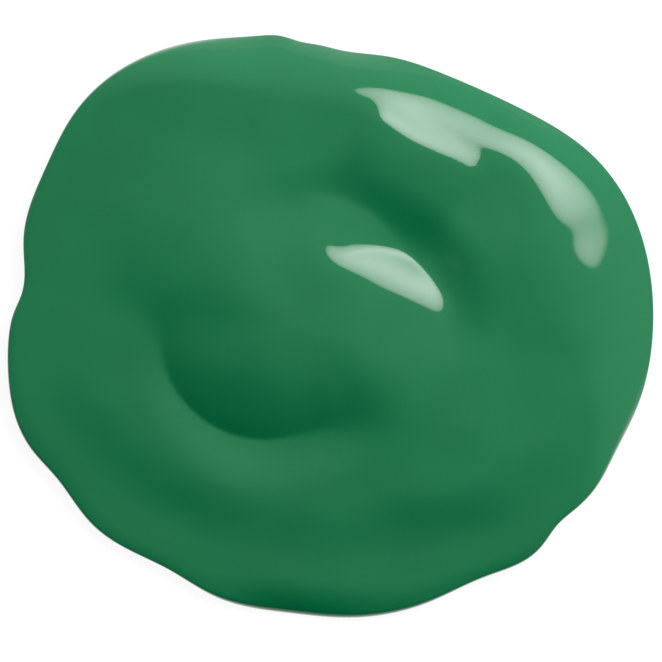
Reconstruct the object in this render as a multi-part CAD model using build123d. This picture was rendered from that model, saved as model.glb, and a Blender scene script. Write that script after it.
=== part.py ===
"""A dollop of thick glossy paint, poured on a flat surface.

One continuous body of paint, in millimetres, with +Z up.  The underside is
flat and lies on z = 0.  The origin is under the middle of the bounding box.
Angles run counter-clockwise from +X.  A "table" below is a list of
(angle in degrees, value) pairs, joined all the way round by a smooth curve.
"""
import os

import numpy as np
from build123d import *

# ---- outline -------------------------------------------------------------
OUTLINE = [
    (0, 18.95), (14, 19.05), (24, 18.90), (34, 18.36), (45, 17.36), (55, 16.64), (66, 16.30),
    (78, 16.27), (89, 16.35), (92.5, 16.62), (97, 16.98), (99, 17.30), (104, 17.66), (113, 18.38),
    (122, 19.18), (131, 19.66), (140, 19.66), (151, 19.20), (164, 18.80), (174.5, 18.30),
    (177, 18.62), (181, 18.92), (188, 19.18), (195, 19.34), (202, 19.08), (209, 18.42),
    (212, 18.32), (220, 18.24), (228, 17.70), (236, 17.18), (247, 17.28), (261, 17.00),
    (274, 17.14), (290, 17.19), (301, 17.24), (303.5, 17.40), (309, 17.84), (314, 17.90),
    (319, 17.66), (323, 17.90), (329, 18.25), (335, 18.28), (347, 18.68),
]
MEAN_REACH = 17.8          # mean radius of the outline
CORNER_ROUNDING = 1.0      # degrees over which corners of the outline are rounded
OUTLINE_WAVES = 90         # finest wave kept in the outline, per turn

# ---- rounded rim: height and width, tables by angle ------------------------
RIM_HEIGHT = [(0, 1.85), (12, 2.2), (24, 2.34), (36, 1.98), (47, 1.84), (58, 2.04), (70, 2.28),
              (82, 2.33), (95, 2.22), (115, 2.12), (135, 1.9), (180, 1.5), (225, 1.3),
              (270, 1.35), (285, 1.45), (300, 1.65), (330, 1.7)]
RIM_WIDTH = [(0, 5.0), (10, 6.2), (20, 6.65), (28, 5.5), (37, 4.25), (47, 4.5), (58, 6.3),
             (68, 6.55), (76, 5.5), (85, 4.9), (94, 4.7), (104, 4.1), (118, 2.6), (130, 1.3),
             (142, 0.7), (155, 0.5), (185, 0.5), (200, 0.9), (238, 1.1), (248, 1.7), (257, 2.4),
             (270, 2.4), (280, 2.1), (290, 1.6), (304, 1.1), (318, 0.6), (332, 1.2), (346, 3.0)]
RIM_POWER = 2.2            # how suddenly the shoulder turns down
# share of the rim's height that drops at the very edge
RIM_FOOT = [(0, 0.0), (12, 0.0), (45, 0.0), (80, 0.0), (98, 0.02), (110, 0.1), (122, 0.5),
            (134, 0.9), (150, 0.95), (190, 0.95), (205, 0.92), (240, 0.90), (249, 0.80),
            (257, 0.48), (270, 0.46), (280, 0.64), (290, 0.76), (304, 0.84), (316, 0.92),
            (328, 0.85), (338, 0.45), (348, 0.1)]
FOOT_POWER = 30.0          # how suddenly the steep foot turns down
MIDDLE_RISE = 0.2          # gentle rise of the whole pool towards its middle

# ---- terrace: the lower sheet of paint that shows beyond the upper one -------
TERRACE_REACH = [(0, 17.2), (45, 16.5), (90, 15.5), (150, 15.5), (200, 15.0), (216, 14.0),
                 (232, 13.1), (250, 12.2), (270, 12.0), (288, 12.2), (300, 12.9), (312, 13.9),
                 (330, 15.2), (345, 16.5)]
TERRACE_DROP = [(0, 0.08), (40, 0.0), (90, 0.0), (150, 0.0), (190, 0.08), (212, 0.34),
                (230, 0.38), (252, 0.24), (270, 0.26), (286, 0.42), (302, 0.56), (320, 0.38),
                (340, 0.18)]
TERRACE_WIDTH = 4.6        # width over which the skin steps down to the lower sheet

# ---- hollow round the mound: tables by angle about the mound -----------------
MOUND_X, MOUND_Y = -1.47, 0.18    # middle of the mound
HOLLOW_REACH = [(0, 11.5), (24, 11.6), (48, 10.6), (76, 10.2), (100, 9.8), (135, 9.8),
                (180, 10.8), (225, 11.3), (270, 10.4), (315, 9.7)]
HOLLOW_DEPTH = [(0, 0.48), (22, 0.76), (42, 0.76), (58, 0.66), (72, 0.56), (90, 0.48),
                (115, 0.34), (140, 0.16), (165, 0.02), (180, 0.12), (195, 0.38), (220, 0.56),
                (250, 0.56), (290, 0.24), (320, 0.0), (340, 0.1)]
HOLLOW_WALL = 4.4          # width of the hollow's outer wall

# ---- ridge: the straight fold of paint outside the hollow ----------------------
RIDGE_FACING = 60.0        # direction the ridge faces, in degrees
RIDGE_HEIGHT = 0.28
RIDGE_START, RIDGE_RISE = 7.4, 4.4        # its inner slope, measured outwards from the mound
RIDGE_CREST, RIDGE_FALL = 12.0, 2.2       # its outer slope
RIDGE_LEFT, RIDGE_RIGHT, RIDGE_FADE = -4.0, 5.3, 2.2    # its two ends

# ---- mound: where the last of the paint fell ----------------------------------
MOUND_REACH = [(0, 10.6), (9, 10.15), (17, 9.3), (26, 8.35), (36, 7.6), (48, 6.85), (60, 6.2),
               (74, 6.4), (90, 8.3), (110, 12.4), (130, 14.5), (150, 13.3), (163, 11.6),
               (175, 10.5), (188, 9.5), (200, 9.0), (212, 8.5), (231, 7.75), (253, 7.0),
               (272, 6.7), (290, 7.1), (306, 7.85), (322, 9.0), (342, 10.1)]
MOUND_SHARPNESS = [(0, 2.8), (25, 3.6), (45, 4.2), (60, 5.2), (74, 5.2), (90, 3.4), (135, 2.1),
                   (170, 2.4), (200, 2.45), (230, 2.3), (265, 2.3), (300, 2.4), (330, 2.4)]
MOUND_LEVEL = [(0, 1.0), (24, 0.74), (36, 0.50), (48, 0.22), (59, -0.06), (73, -0.22),
               (98, -0.1), (125, 1.0), (150, 2.4), (330, 1.8)]
MOUND_LEVELLING = 0.25     # how softly the flank reaches that level
MOUND_SLOPE = 0.10         # slope of the flank's foot, once level
MOUND_TOP = 2.70           # height of the mound's middle
MOUND_FALL = 1.66          # fall from the middle to MOUND_REACH
MOUND_TILT_X, MOUND_TILT_Y = -0.022, -0.031    # lean of the whole mound
FOLD_SOFTNESS = [(0, 0.40), (20, 0.14), (45, 0.10), (70, 0.12), (90, 0.3), (110, 0.7),
                 (135, 1.0), (155, 0.9), (168, 0.6), (180, 0.25), (190, 0.12), (205, 0.06),
                 (262, 0.08), (285, 0.25), (305, 0.55), (325, 0.8), (342, 0.7)]

# ---- fineness of the lofted skin ----------------------------------------------
POINTS_ROUND = 120
RIM_STEPS = 6
INNER_STEPS = 18
TIP = 0.03                 # the innermost ring, as a share of the outline

TURN = 2.0 * np.pi


def smooth_round(table, at):
    """Periodic cubic curve through a table, read at the angles `at` (radians)."""
    angle = np.radians([a for a, _ in table])
    value = np.array([v for _, v in table], float)
    count = len(angle)
    gap = np.diff(np.append(angle, angle[0] + TURN))
    rise = (np.roll(value, -1) - value) / gap
    system = np.zeros((count, count))
    for i in range(count):
        system[i, i - 1] = gap[i - 1]
        system[i, i] = 2.0 * (gap[i - 1] + gap[i])
        system[i, (i + 1) % count] = gap[i]
    bend = np.linalg.solve(system, 6.0 * (rise - np.roll(rise, 1)))
    at = np.mod(at, TURN)
    i = np.searchsorted(angle, at, side="right") - 1
    j = (i + 1) % count
    u = at - angle[i]
    w = gap[i] - u
    curve = (bend[i] * w**3 + bend[j] * u**3) / (6.0 * gap[i])
    curve += (value[i] / gap[i] - bend[i] * gap[i] / 6.0) * w
    curve += (value[j] / gap[i] - bend[j] * gap[i] / 6.0) * u
    return curve


def calmed(table, at, share):
    """A table whose differences from its mean fade as `share` goes to zero."""
    mean = np.mean([v for _, v in table])
    return mean + (smooth_round(table, at) - mean) * share


def smooth_step(t):
    t = np.clip(t, 0.0, 1.0)
    return t**3 * (t * (6.0 * t - 15.0) + 10.0)


def outline_waves():
    """The outline as waves round the turn, with its corners rounded."""
    samples = 720
    radius = smooth_round(OUTLINE, np.arange(samples) * TURN / samples)
    waves = np.fft.rfft(radius) / samples
    waves[1:] *= 2.0
    order = np.arange(len(waves))
    waves *= np.exp(-(order * np.radians(CORNER_ROUNDING))**2 / 2.0)
    return waves[:OUTLINE_WAVES]


WAVES = outline_waves()


def rim_rise(angle, drop):
    """Height share of the rim; `drop` is 1 at the foot and 0 where the rim ends."""
    foot = smooth_round(RIM_FOOT, angle)
    return 1.0 - (1.0 - foot) * drop**RIM_POWER - foot * drop**FOOT_POWER


def ring_radius(angle, share):
    """Radius of the ring at `share` of the outline; its waves die out inwards."""
    total = np.zeros(np.broadcast(angle, share).shape)
    for order, wave in enumerate(WAVES):
        total = total + (wave * np.exp(1j * order * angle)).real * share**(1 + order)
    return total


def surface(angle, share, rim):
    """Points of the paint's skin; `rim` is 0 at the foot and 1 inside the rim."""
    radius = ring_radius(angle, share)
    x = radius * np.cos(angle)
    y = radius * np.sin(angle)
    height = calmed(RIM_HEIGHT, angle, share) * rim + MIDDLE_RISE * (1.0 - share**2)
    beyond = radius - smooth_round(TERRACE_REACH, angle) + TERRACE_WIDTH / 2.0
    height -= smooth_round(TERRACE_DROP, angle) * smooth_step(beyond / TERRACE_WIDTH) * rim

    from_mound = np.hypot(x - MOUND_X, y - MOUND_Y)
    side = np.arctan2(y - MOUND_Y, x - MOUND_X)
    far = smooth_step(from_mound / 6.0)
    across = from_mound * np.cos(side - np.radians(RIDGE_FACING))
    along = from_mound * np.sin(np.radians(RIDGE_FACING) - side)
    ridge = smooth_step((across - RIDGE_START) / RIDGE_RISE)
    ridge *= smooth_step((RIDGE_CREST + RIDGE_FALL - across) / RIDGE_FALL)
    ridge *= smooth_step((along - RIDGE_LEFT) / RIDGE_FADE)
    ridge *= smooth_step((RIDGE_RIGHT - along) / RIDGE_FADE)
    height += RIDGE_HEIGHT * ridge
    wall = (from_mound - calmed(HOLLOW_REACH, side, far) + HOLLOW_WALL) / HOLLOW_WALL
    pool = height - calmed(HOLLOW_DEPTH, side, far) * (1.0 - smooth_step(wall))
    out = from_mound / smooth_round(MOUND_REACH, side)
    fall = MOUND_FALL * out**smooth_round(MOUND_SHARPNESS, side)
    level = calmed(MOUND_LEVEL, side, far) + MOUND_SLOPE * from_mound
    mound = MOUND_TOP - (fall + level - np.hypot(fall - level, MOUND_LEVELLING)) / 2.0
    mound += MOUND_TILT_X * (x - MOUND_X) + MOUND_TILT_Y * (y - MOUND_Y)
    mound -= MOUND_TOP * smooth_step(wall / 2.0 - 0.5)
    gap = np.hypot(pool - mound, calmed(FOLD_SOFTNESS, side, far))
    return x, y, (pool + mound + gap) / 2.0


def ring(step):
    """One closed ring of the skin, as (x, y, z) points; step 0 is the foot."""
    angle = np.arange(POINTS_ROUND) * TURN / POINTS_ROUND
    rim_share = smooth_round(RIM_WIDTH, angle) / MEAN_REACH
    if step <= RIM_STEPS:
        drop = 1.0 - (step / RIM_STEPS)**2
        share = 1.0 - rim_share * (1.0 - drop)
        rim = rim_rise(angle, drop)
    else:
        way = (step - RIM_STEPS) / INNER_STEPS
        share = (1.0 - rim_share) * (1.0 - way) + TIP * way
        rim = 1.0
    x, y, z = surface(angle, share, rim)
    return np.column_stack((x, y, z))


rings = [ring(step) for step in range(RIM_STEPS + INNER_STEPS + 1)]
rings[0][:, 2] = 0.0
rings[-1][:, 2] = rings[-1][:, 2].mean()

middle = (rings[0].max(axis=0) + rings[0].min(axis=0)) / 2.0
even_steps = [i / POINTS_ROUND for i in range(POINTS_ROUND + 1)]
wires = []
for points in rings:
    shifted = points - middle * np.array([1.0, 1.0, 0.0])
    loop = Edge.make_spline([tuple(p) for p in shifted], periodic=True, parameters=even_steps)
    wires.append(Wire([loop]))

paint_dollop = Solid.make_loft(wires)
paint_dollop.label = "paint_dollop"

os.makedirs("parts", exist_ok=True)
export_step(paint_dollop, "parts/paint_dollop.step")

box = paint_dollop.bounding_box()
print("size", box.size, "min", box.min, "volume", round(paint_dollop.volume, 1), paint_dollop.is_valid)
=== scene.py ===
"""A dollop of thick glossy green paint, seen from straight above.

The dollop's skin follows the same tables and formula as the CAD part, in
millimetres, and is turned into metres when the mesh is made.
"""
import math

import bpy
import numpy as np
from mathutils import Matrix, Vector


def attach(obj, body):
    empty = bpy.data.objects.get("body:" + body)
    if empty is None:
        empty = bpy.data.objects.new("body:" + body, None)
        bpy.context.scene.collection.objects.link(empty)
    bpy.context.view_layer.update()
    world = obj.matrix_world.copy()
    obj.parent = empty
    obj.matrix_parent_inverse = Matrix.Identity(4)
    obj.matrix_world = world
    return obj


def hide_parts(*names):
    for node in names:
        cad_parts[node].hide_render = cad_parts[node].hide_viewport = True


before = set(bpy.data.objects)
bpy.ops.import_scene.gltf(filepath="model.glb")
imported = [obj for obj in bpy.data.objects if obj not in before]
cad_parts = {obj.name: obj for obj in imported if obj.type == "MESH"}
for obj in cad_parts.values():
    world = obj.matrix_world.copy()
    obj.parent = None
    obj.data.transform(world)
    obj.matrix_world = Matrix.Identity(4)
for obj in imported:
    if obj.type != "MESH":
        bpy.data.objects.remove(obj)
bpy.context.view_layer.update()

# ---- outline -------------------------------------------------------------------------
OUTLINE = [
    (0, 18.95), (14, 19.05), (24, 18.90), (34, 18.36), (45, 17.36), (55, 16.64), (66, 16.30),
    (78, 16.27), (89, 16.35), (92.5, 16.62), (97, 16.98), (99, 17.30), (104, 17.66), (113, 18.38),
    (122, 19.18), (131, 19.66), (140, 19.66), (151, 19.20), (164, 18.80), (174.5, 18.30),
    (177, 18.62), (181, 18.92), (188, 19.18), (195, 19.34), (202, 19.08), (209, 18.42),
    (212, 18.32), (220, 18.24), (228, 17.70), (236, 17.18), (247, 17.28), (261, 17.00),
    (274, 17.14), (290, 17.19), (301, 17.24), (303.5, 17.40), (309, 17.84), (314, 17.90),
    (319, 17.66), (323, 17.90), (329, 18.25), (335, 18.28), (347, 18.68),
]
MEAN_REACH = 17.8          # mean radius of the outline
CORNER_ROUNDING = 1.0      # degrees over which corners of the outline are rounded
OUTLINE_WAVES = 90         # finest wave kept in the outline, per turn

# ---- rounded rim: height and width, tables by angle ----------------------------------
RIM_HEIGHT = [(0, 1.85), (12, 2.2), (24, 2.34), (36, 1.98), (47, 1.84), (58, 2.04), (70, 2.28),
              (82, 2.33), (95, 2.22), (115, 2.12), (135, 1.9), (180, 1.5), (225, 1.3),
              (270, 1.35), (285, 1.45), (300, 1.65), (330, 1.7)]
RIM_WIDTH = [(0, 5.0), (10, 6.2), (20, 6.65), (28, 5.5), (37, 4.25), (47, 4.5), (58, 6.3),
             (68, 6.55), (76, 5.5), (85, 4.9), (94, 4.7), (104, 4.1), (118, 2.6), (130, 1.3),
             (142, 0.7), (155, 0.5), (185, 0.5), (200, 0.9), (238, 1.1), (248, 1.7), (257, 2.4),
             (270, 2.4), (280, 2.1), (290, 1.6), (304, 1.1), (318, 0.6), (332, 1.2), (346, 3.0)]
RIM_POWER = 2.2            # how suddenly the shoulder turns down
# share of the rim's height that drops at the very edge
RIM_FOOT = [(0, 0.0), (12, 0.0), (45, 0.0), (80, 0.0), (98, 0.02), (110, 0.1), (122, 0.5),
            (134, 0.9), (150, 0.95), (190, 0.95), (205, 0.92), (240, 0.90), (249, 0.80),
            (257, 0.48), (270, 0.46), (280, 0.64), (290, 0.76), (304, 0.84), (316, 0.92),
            (328, 0.85), (338, 0.45), (348, 0.1)]
FOOT_POWER = 30.0          # how suddenly the steep foot turns down
MIDDLE_RISE = 0.2          # gentle rise of the whole pool towards its middle

# ---- terrace: the lower sheet of paint that shows beyond the upper one ---------------
TERRACE_REACH = [(0, 17.2), (45, 16.5), (90, 15.5), (150, 15.5), (200, 15.0), (216, 14.0),
                 (232, 13.1), (250, 12.2), (270, 12.0), (288, 12.2), (300, 12.9), (312, 13.9),
                 (330, 15.2), (345, 16.5)]
TERRACE_DROP = [(0, 0.08), (40, 0.0), (90, 0.0), (150, 0.0), (190, 0.08), (212, 0.34),
                (230, 0.38), (252, 0.24), (270, 0.26), (286, 0.42), (302, 0.56), (320, 0.38),
                (340, 0.18)]
TERRACE_WIDTH = 4.6        # width over which the skin steps down to the lower sheet

# ---- hollow round the mound: tables by angle about the mound -------------------------
MOUND_X, MOUND_Y = -1.47, 0.18    # middle of the mound
HOLLOW_REACH = [(0, 11.5), (24, 11.6), (48, 10.6), (76, 10.2), (100, 9.8), (135, 9.8),
                (180, 10.8), (225, 11.3), (270, 10.4), (315, 9.7)]
HOLLOW_DEPTH = [(0, 0.48), (22, 0.76), (42, 0.76), (58, 0.66), (72, 0.56), (90, 0.48),
                (115, 0.34), (140, 0.16), (165, 0.02), (180, 0.12), (195, 0.38), (220, 0.56),
                (250, 0.56), (290, 0.24), (320, 0.0), (340, 0.1)]
HOLLOW_WALL = 4.4          # width of the hollow's outer wall

# ---- ridge: the straight fold of paint outside the hollow ----------------------------
RIDGE_FACING = 60.0        # direction the ridge faces, in degrees
RIDGE_HEIGHT = 0.28
RIDGE_START, RIDGE_RISE = 7.4, 4.4        # its inner slope, measured outwards from the mound
RIDGE_CREST, RIDGE_FALL = 12.0, 2.2       # its outer slope
RIDGE_LEFT, RIDGE_RIGHT, RIDGE_FADE = -4.0, 5.3, 2.2    # its two ends

# ---- mound: where the last of the paint fell -----------------------------------------
MOUND_REACH = [(0, 10.6), (9, 10.15), (17, 9.3), (26, 8.35), (36, 7.6), (48, 6.85), (60, 6.2),
               (74, 6.4), (90, 8.3), (110, 12.4), (130, 14.5), (150, 13.3), (163, 11.6),
               (175, 10.5), (188, 9.5), (200, 9.0), (212, 8.5), (231, 7.75), (253, 7.0),
               (272, 6.7), (290, 7.1), (306, 7.85), (322, 9.0), (342, 10.1)]
MOUND_SHARPNESS = [(0, 2.8), (25, 3.6), (45, 4.2), (60, 5.2), (74, 5.2), (90, 3.4), (135, 2.1),
                   (170, 2.4), (200, 2.45), (230, 2.3), (265, 2.3), (300, 2.4), (330, 2.4)]
MOUND_LEVEL = [(0, 1.0), (24, 0.74), (36, 0.50), (48, 0.22), (59, -0.06), (73, -0.22),
               (98, -0.1), (125, 1.0), (150, 2.4), (330, 1.8)]
MOUND_LEVELLING = 0.25     # how softly the flank reaches that level
MOUND_SLOPE = 0.10         # slope of the flank's foot, once level
MOUND_TOP = 2.70           # height of the mound's middle
MOUND_FALL = 1.66          # fall from the middle to MOUND_REACH
MOUND_TILT_X, MOUND_TILT_Y = -0.022, -0.031    # lean of the whole mound
MOUND_CALM = 6.0           # within this radius most tables by angle calm to their mean
MOUND_END = 2.0            # the mound ends over this many wall widths, beyond the wall
FOLD_SOFTNESS = [(0, 0.40), (20, 0.14), (45, 0.10), (70, 0.12), (90, 0.3), (110, 0.7),
                 (135, 1.0), (155, 0.9), (168, 0.6), (180, 0.25), (190, 0.12), (205, 0.06),
                 (262, 0.08), (285, 0.25), (305, 0.55), (325, 0.8), (342, 0.7)]

# ---- fineness of the mesh ------------------------------------------------------------
POINTS_ROUND = 480
RIM_STEPS = 40
INNER_STEPS = 140
BOTTOM_STEPS = 6
OUTLINE_SAMPLES = 720      # points of the outline that its waves are worked out from
MM = 0.001

# ---- ripples: fine unevenness of the skin --------------------------------------------
# (height and length in millimetres, heading in degrees, start in radians)
RIPPLES = [(0.012, 5.2, 20.0, 0.3), (0.008, 3.7, 75.0, 1.9), (0.006, 2.9, 130.0, 4.0)]
RIPPLE_FADE = 4            # how late they die out towards the outline

# ---- paint: colours as linear red, green, blue and opacity ---------------------------
PAINT_DARK = (0.0, 0.142, 0.0480, 1.0)
PAINT_LIGHT = (0.0, 0.152, 0.0512, 1.0)
PAINT_IOR = 1.5
STREAK_FROM, STREAK_TO = 0.3, 0.7         # noise levels of the dark and the light paint
ROUGHNESS_LEAST, ROUGHNESS_MOST = 0.025, 0.055

# ---- floor: lengths in metres --------------------------------------------------------
FLOOR_RADIUS = 4.0
FLOOR_SIDES = 64
FLOOR_Z = -0.00002         # just below the dollop's underside
FLOOR_GREY = 0.16
FLOOR_GLOW = 0.90

# ---- camera and light: lengths in metres, angles in degrees --------------------------
CAMERA_HEIGHT = 0.40
SENSOR_WIDTH = 36.0        # in millimetres
FRAME_WIDTH = 0.03894      # width of the floor that the camera sees
AIM_DROP = 0.000235        # how far towards -Y the camera stands from the outline's centre
KEY_AZIMUTH, KEY_ZENITH = 46.0, 45.0
KEY_DISTANCE = 0.30
KEY_WIDTH, KEY_DEPTH = 0.256, 0.206
KEY_SQUARENESS = 2.6       # 2 is an ellipse, a large number is a rectangle
# (distance from the light's middle, where its edge is 1, and brightness there)
KEY_FALLOFF = [(0.0, 1.0), (0.3, 0.92), (0.5, 0.8), (0.8, 0.6), (0.94, 0.38), (1.0, 0.0)]
KEY_RADIANCE = 9.8

# ---- room: headings in degrees; FROM, TO and EDGE are cosines of angles --------------
QUARTER_TURN = 90.0
ROOM_HEADING = 60.0
ROOM_FROM, ROOM_TO = -0.95, 0.80
ROOM_DARK, ROOM_BRIGHT = 0.02, 1.12
PANEL_HEADING = 177.5
PANEL_FROM, PANEL_TO = 0.52, 0.60
PANEL_START, PANEL_STOP = 150.0, 205.0    # headings of its two ends
PANEL_EDGE = 0.14          # it fades out over this much, just inside its ends
PANEL_STRENGTH = 0.45
BACKDROP_STRENGTH = 0.93   # what the camera itself sees beyond the floor

TURN = 2.0 * np.pi


def smooth_round(table, at):
    """Periodic cubic curve through a table, read at the angles `at` (radians)."""
    angle = np.radians([a for a, _ in table])
    value = np.array([v for _, v in table], float)
    count = len(angle)
    gap = np.diff(np.append(angle, angle[0] + TURN))
    rise = (np.roll(value, -1) - value) / gap
    system = np.zeros((count, count))
    for i in range(count):
        system[i, i - 1] = gap[i - 1]
        system[i, i] = 2.0 * (gap[i - 1] + gap[i])
        system[i, (i + 1) % count] = gap[i]
    bend = np.linalg.solve(system, 6.0 * (rise - np.roll(rise, 1)))
    at = np.mod(at, TURN)
    i = np.searchsorted(angle, at, side="right") - 1
    j = (i + 1) % count
    u = at - angle[i]
    w = gap[i] - u
    curve = (bend[i] * w**3 + bend[j] * u**3) / (6.0 * gap[i])
    curve += (value[i] / gap[i] - bend[i] * gap[i] / 6.0) * w
    curve += (value[j] / gap[i] - bend[j] * gap[i] / 6.0) * u
    return curve


def calmed(table, at, share):
    """A table whose differences from its mean fade as `share` goes to zero."""
    mean = np.mean([v for _, v in table])
    return mean + (smooth_round(table, at) - mean) * share


def smooth_step(t):
    """Goes from 0 to 1 as `t` does, level at both ends."""
    t = np.clip(t, 0.0, 1.0)
    return t**3 * (t * (6.0 * t - 15.0) + 10.0)


def outline_waves():
    """The outline as waves round the turn, with its corners rounded."""
    angle = np.arange(OUTLINE_SAMPLES) * TURN / OUTLINE_SAMPLES
    waves = np.fft.rfft(smooth_round(OUTLINE, angle)) / OUTLINE_SAMPLES
    waves[1:] *= 2.0
    order = np.arange(len(waves))
    waves *= np.exp(-(order * np.radians(CORNER_ROUNDING))**2 / 2.0)
    return waves[:OUTLINE_WAVES]


WAVES = outline_waves()


def rim_rise(angle, drop):
    """Height share of the rim; `drop` is 1 at the foot and 0 where the rim ends."""
    foot = smooth_round(RIM_FOOT, angle)
    return 1.0 - (1.0 - foot) * drop**RIM_POWER - foot * drop**FOOT_POWER


def ring_radius(angle, share):
    """Radius of the ring at `share` of the outline; its waves die out inwards."""
    total = np.zeros(np.broadcast(angle, share).shape)
    for order, wave in enumerate(WAVES):
        total = total + (wave * np.exp(1j * order * angle)).real * share**(1 + order)
    return total


def surface(angle, share, rim):
    """Points of the paint's skin; `rim` is 0 at the foot and 1 inside the rim."""
    radius = ring_radius(angle, share)
    x = radius * np.cos(angle)
    y = radius * np.sin(angle)
    height = calmed(RIM_HEIGHT, angle, share) * rim + MIDDLE_RISE * (1.0 - share**2)
    beyond = radius - smooth_round(TERRACE_REACH, angle) + TERRACE_WIDTH / 2.0
    height -= smooth_round(TERRACE_DROP, angle) * smooth_step(beyond / TERRACE_WIDTH) * rim

    from_mound = np.hypot(x - MOUND_X, y - MOUND_Y)
    side = np.arctan2(y - MOUND_Y, x - MOUND_X)
    far = smooth_step(from_mound / MOUND_CALM)
    across = from_mound * np.cos(side - np.radians(RIDGE_FACING))
    along = from_mound * np.sin(np.radians(RIDGE_FACING) - side)
    ridge = smooth_step((across - RIDGE_START) / RIDGE_RISE)
    ridge *= smooth_step((RIDGE_CREST + RIDGE_FALL - across) / RIDGE_FALL)
    ridge *= smooth_step((along - RIDGE_LEFT) / RIDGE_FADE)
    ridge *= smooth_step((RIDGE_RIGHT - along) / RIDGE_FADE)
    height += RIDGE_HEIGHT * ridge

    wall = (from_mound - calmed(HOLLOW_REACH, side, far) + HOLLOW_WALL) / HOLLOW_WALL
    pool = height - calmed(HOLLOW_DEPTH, side, far) * (1.0 - smooth_step(wall))

    out = from_mound / smooth_round(MOUND_REACH, side)
    fall = MOUND_FALL * out**smooth_round(MOUND_SHARPNESS, side)
    level = calmed(MOUND_LEVEL, side, far) + MOUND_SLOPE * from_mound
    mound = MOUND_TOP - (fall + level - np.hypot(fall - level, MOUND_LEVELLING)) / 2.0
    mound += MOUND_TILT_X * (x - MOUND_X) + MOUND_TILT_Y * (y - MOUND_Y)
    mound -= MOUND_TOP * smooth_step((wall - 1.0) / MOUND_END)

    gap = np.hypot(pool - mound, calmed(FOLD_SOFTNESS, side, far))
    return x, y, (pool + mound + gap) / 2.0


def ripples(x, y):
    """Long shallow waves left where the paint ran together."""
    total = np.zeros_like(x)
    for height, length, heading, start in RIPPLES:
        along = x * np.cos(np.radians(heading)) + y * np.sin(np.radians(heading))
        total += height * np.sin(TURN * along / length + start)
    return total


def skin_rings():
    """Rings of skin points, from the foot to the middle, in millimetres."""
    angle = np.arange(POINTS_ROUND) * TURN / POINTS_ROUND
    rim_share = smooth_round(RIM_WIDTH, angle) / MEAN_REACH
    rings = []
    for step in range(RIM_STEPS + INNER_STEPS):
        if step <= RIM_STEPS:
            drop = 1.0 - (step / RIM_STEPS)**2
            share = 1.0 - rim_share * (1.0 - drop)
            rim = rim_rise(angle, drop)
        else:
            share = (1.0 - rim_share) * (1.0 - (step - RIM_STEPS) / INNER_STEPS)
            rim = 1.0
        x, y, z = surface(angle, share, rim)
        z += ripples(x, y) * (1.0 - share**RIPPLE_FADE)
        rings.append(np.column_stack((x, y, z)))
    rings[0][:, 2] = 0.0
    return rings


def band(low, high):
    """Quads between two rings of points, each ring given by its first point."""
    quads = []
    for i in range(POINTS_ROUND):
        j = (i + 1) % POINTS_ROUND
        quads.append((low + i, low + j, high + j, high + i))
    return quads


def fan(ring, tip):
    """Triangles that close a ring of points onto one point."""
    return [(ring + i, ring + (i + 1) % POINTS_ROUND, tip) for i in range(POINTS_ROUND)]


def dollop_faces(ring_count):
    """Faces of the skin up to its tip, then of the underside, turned to face down."""
    tip = ring_count * POINTS_ROUND
    upper = [ring * POINTS_ROUND for ring in range(ring_count)]
    lower = [0] + [tip + 1 + ring * POINTS_ROUND for ring in range(BOTTOM_STEPS - 1)]
    centre = lower[-1] + POINTS_ROUND

    faces = []
    for low, high in zip(upper, upper[1:]):
        faces += band(low, high)
    faces += fan(upper[-1], tip)
    for outer, inner in zip(lower, lower[1:]):
        faces += band(inner, outer)
    faces += [face[::-1] for face in fan(lower[-1], centre)]
    return faces


def dollop_mesh():
    """The closed mesh, moved so that its foot is centred, and where the middle was."""
    rings = skin_rings()
    foot = rings[0]
    middle = (foot.max(axis=0) + foot.min(axis=0)) / 2.0
    top = np.column_stack(surface(np.zeros(1), np.zeros(1), 1.0))
    top[:, 2] += ripples(top[:, 0], top[:, 1])
    under = [foot * (1.0 - step / BOTTOM_STEPS) for step in range(1, BOTTOM_STEPS)]
    centre = np.zeros((1, 3))
    points = (np.vstack(rings + [top] + under + [centre]) - middle) * MM

    mesh = bpy.data.meshes.new("paint_dollop_skin")
    mesh.from_pydata(points.tolist(), [], dollop_faces(len(rings)))
    mesh.update()
    mesh.shade_smooth()
    for edge in mesh.edges:
        if max(edge.vertices) < POINTS_ROUND:
            edge.use_edge_sharp = True
    return mesh, middle * MM


def math_node(tree, how, *values):
    """A math node fed by sockets or plain numbers; gives its output socket."""
    node = tree.nodes.new("ShaderNodeMath")
    node.operation = how
    for socket, value in zip(node.inputs, values):
        if isinstance(value, bpy.types.NodeSocket):
            tree.links.new(value, socket)
        else:
            socket.default_value = value
    return node.outputs["Value"]


def noise_node(tree, scale, detail, distortion):
    """Noise in the dollop's own coordinates; gives its output socket."""
    place = tree.nodes.new("ShaderNodeTexCoord")
    node = tree.nodes.new("ShaderNodeTexNoise")
    node.inputs["Scale"].default_value = scale
    node.inputs["Detail"].default_value = detail
    node.inputs["Distortion"].default_value = distortion
    tree.links.new(place.outputs["Object"], node.inputs["Vector"])
    return node.outputs["Fac"]


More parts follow.
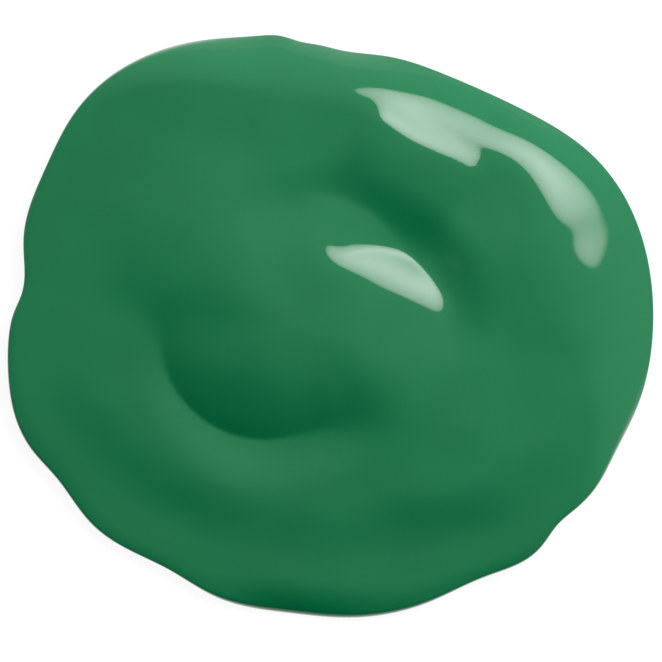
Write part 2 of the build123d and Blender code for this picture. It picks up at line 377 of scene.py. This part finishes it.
def paint_material():
    """Glossy green paint, with faint unmixed streaks and a barely uneven gloss."""
    material = bpy.data.materials.new("wet_paint")
    material.use_nodes = True
    tree = material.node_tree
    tree.nodes.clear()
    link = tree.links.new
    output = tree.nodes.new("ShaderNodeOutputMaterial")
    paint = tree.nodes.new("ShaderNodeBsdfPrincipled")
    paint.inputs["IOR"].default_value = PAINT_IOR
    link(paint.outputs["BSDF"], output.inputs["Surface"])

    streaks = noise_node(tree, scale=160.0, detail=3.0, distortion=0.8)
    colour = tree.nodes.new("ShaderNodeValToRGB")
    dark, light = colour.color_ramp.elements
    dark.position = STREAK_FROM
    dark.color = PAINT_DARK
    light.position = STREAK_TO
    light.color = PAINT_LIGHT
    link(streaks, colour.inputs["Fac"])
    link(colour.outputs["Color"], paint.inputs["Base Color"])

    gloss = noise_node(tree, scale=400.0, detail=2.0, distortion=0.0)
    roughness = tree.nodes.new("ShaderNodeMapRange")
    roughness.inputs["To Min"].default_value = ROUGHNESS_LEAST
    roughness.inputs["To Max"].default_value = ROUGHNESS_MOST
    link(gloss, roughness.inputs["Value"])
    link(roughness.outputs["Result"], paint.inputs["Roughness"])
    return material


def floor_material():
    """Matt white paper that glows, so that only a faint shadow shows on it."""
    material = bpy.data.materials.new("white_floor")
    material.use_nodes = True
    paper = material.node_tree.nodes["Principled BSDF"]
    paper.inputs["Base Color"].default_value = (FLOOR_GREY, FLOOR_GREY, FLOOR_GREY, 1.0)
    paper.inputs["Roughness"].default_value = 1.0
    paper.inputs["Specular IOR Level"].default_value = 0.0
    paper.inputs["Emission Color"].default_value = (1.0, 1.0, 1.0, 1.0)
    paper.inputs["Emission Strength"].default_value = FLOOR_GLOW
    return material


def make_floor():
    angles = [TURN * i / FLOOR_SIDES for i in range(FLOOR_SIDES)]
    points = [(FLOOR_RADIUS * math.cos(a), FLOOR_RADIUS * math.sin(a), FLOOR_Z) for a in angles]
    mesh = bpy.data.meshes.new("floor")
    mesh.from_pydata(points, [], [tuple(range(FLOOR_SIDES))])
    floor = bpy.data.objects.new("floor", mesh)
    floor.data.materials.append(floor_material())
    bpy.context.scene.collection.objects.link(floor)


def direction(azimuth, zenith):
    """Unit vector, by degrees round from +X and degrees down from +Z."""
    a, z = math.radians(azimuth), math.radians(zenith)
    return Vector((math.cos(a) * math.sin(z), math.sin(a) * math.sin(z), math.cos(z)))


def make_key():
    """One large softbox with rounded corners, brightest in its middle."""
    light = bpy.data.lights.new("key_softbox", "AREA")
    light.shape = "RECTANGLE"
    light.size = KEY_WIDTH
    light.size_y = KEY_DEPTH
    light.energy = KEY_RADIANCE * math.pi * KEY_WIDTH * KEY_DEPTH
    light.use_nodes = True
    tree = light.node_tree
    link = tree.links.new

    place = tree.nodes.new("ShaderNodeNewGeometry")
    split = tree.nodes.new("ShaderNodeSeparateXYZ")
    link(place.outputs["Parametric"], split.inputs["Vector"])
    sides = []
    for axis in ("X", "Y"):
        side = math_node(tree, "MULTIPLY_ADD", split.outputs[axis], 2.0, -1.0)
        side = math_node(tree, "ABSOLUTE", side)
        sides.append(math_node(tree, "POWER", side, KEY_SQUARENESS))
    from_middle = math_node(tree, "ADD", *sides)
    from_middle = math_node(tree, "POWER", from_middle, 1.0 / KEY_SQUARENESS)

    falloff = tree.nodes.new("ShaderNodeValToRGB")
    levels = falloff.color_ramp.elements
    for distance, _ in KEY_FALLOFF[1:-1]:
        levels.new(distance)
    for level, (_, brightness) in zip(levels, KEY_FALLOFF):
        level.color = (brightness, brightness, brightness, 1.0)
    link(from_middle, falloff.inputs["Fac"])
    link(falloff.outputs["Color"], tree.nodes["Emission"].inputs["Color"])

    key = bpy.data.objects.new("key_softbox", light)
    towards = direction(KEY_AZIMUTH, KEY_ZENITH)
    key.location = towards * KEY_DISTANCE
    key.rotation_mode = "QUATERNION"
    key.rotation_quaternion = towards.to_track_quat("Z", "Y")
    key.visible_camera = False
    bpy.context.scene.collection.objects.link(key)


def make_room():
    """A studio, bright at the upper right, dark at the lower left, dim panel at the left."""
    world = bpy.data.worlds.new("studio")
    bpy.context.scene.world = world
    world.use_nodes = True
    tree = world.node_tree
    tree.nodes.clear()
    link = tree.links.new
    place = tree.nodes.new("ShaderNodeTexCoord")

    def along(heading, start, end, least, most):
        """Brightness that goes smoothly from `least` to `most` along a level heading."""
        dot = tree.nodes.new("ShaderNodeVectorMath")
        dot.operation = "DOT_PRODUCT"
        dot.inputs[1].default_value = direction(heading, QUARTER_TURN)
        link(place.outputs["Generated"], dot.inputs[0])
        ramp = tree.nodes.new("ShaderNodeMapRange")
        ramp.interpolation_type = "SMOOTHSTEP"
        ramp.inputs["From Min"].default_value = start
        ramp.inputs["From Max"].default_value = end
        ramp.inputs["To Min"].default_value = least
        ramp.inputs["To Max"].default_value = most
        link(dot.outputs["Value"], ramp.inputs["Value"])
        return ramp.outputs["Result"]

    room = along(ROOM_HEADING, ROOM_FROM, ROOM_TO, ROOM_DARK, ROOM_BRIGHT)
    panel = along(PANEL_HEADING, PANEL_FROM, PANEL_TO, 0.0, PANEL_STRENGTH)
    for outwards in (PANEL_START - QUARTER_TURN, PANEL_STOP + QUARTER_TURN):
        fade = along(outwards, -PANEL_EDGE, 0.0, 1.0, 0.0)
        panel = math_node(tree, "MULTIPLY", panel, fade)
    strength = math_node(tree, "ADD", room, panel)

    lit = tree.nodes.new("ShaderNodeBackground")
    link(strength, lit.inputs["Strength"])
    plain = tree.nodes.new("ShaderNodeBackground")
    plain.inputs["Strength"].default_value = BACKDROP_STRENGTH
    plain.inputs["Color"].default_value = (1.0, 1.0, 1.0, 1.0)
    path = tree.nodes.new("ShaderNodeLightPath")
    choose = tree.nodes.new("ShaderNodeMixShader")
    link(path.outputs["Is Camera Ray"], choose.inputs["Fac"])
    link(lit.outputs["Background"], choose.inputs[1])
    link(plain.outputs["Background"], choose.inputs[2])
    output = tree.nodes.new("ShaderNodeOutputWorld")
    link(choose.outputs["Shader"], output.inputs["Surface"])


def make_camera(middle):
    """A long lens that looks straight down, close to the outline's own centre."""
    lens = bpy.data.cameras.new("camera")
    lens.sensor_width = SENSOR_WIDTH
    lens.lens = SENSOR_WIDTH * CAMERA_HEIGHT / FRAME_WIDTH
    camera = bpy.data.objects.new("camera", lens)
    camera.location = (-middle[0], -middle[1] - AIM_DROP, CAMERA_HEIGHT)
    bpy.context.scene.collection.objects.link(camera)
    bpy.context.scene.camera = camera


mesh, middle = dollop_mesh()
dollop = bpy.data.objects.new("paint_dollop_skin", mesh)
bpy.context.scene.collection.objects.link(dollop)
dollop.data.materials.append(paint_material())
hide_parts("paint_dollop")
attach(dollop, "root")

make_floor()
make_key()
make_room()
make_camera(middle)
bpy.context.scene.view_settings.view_transform = "Standard"
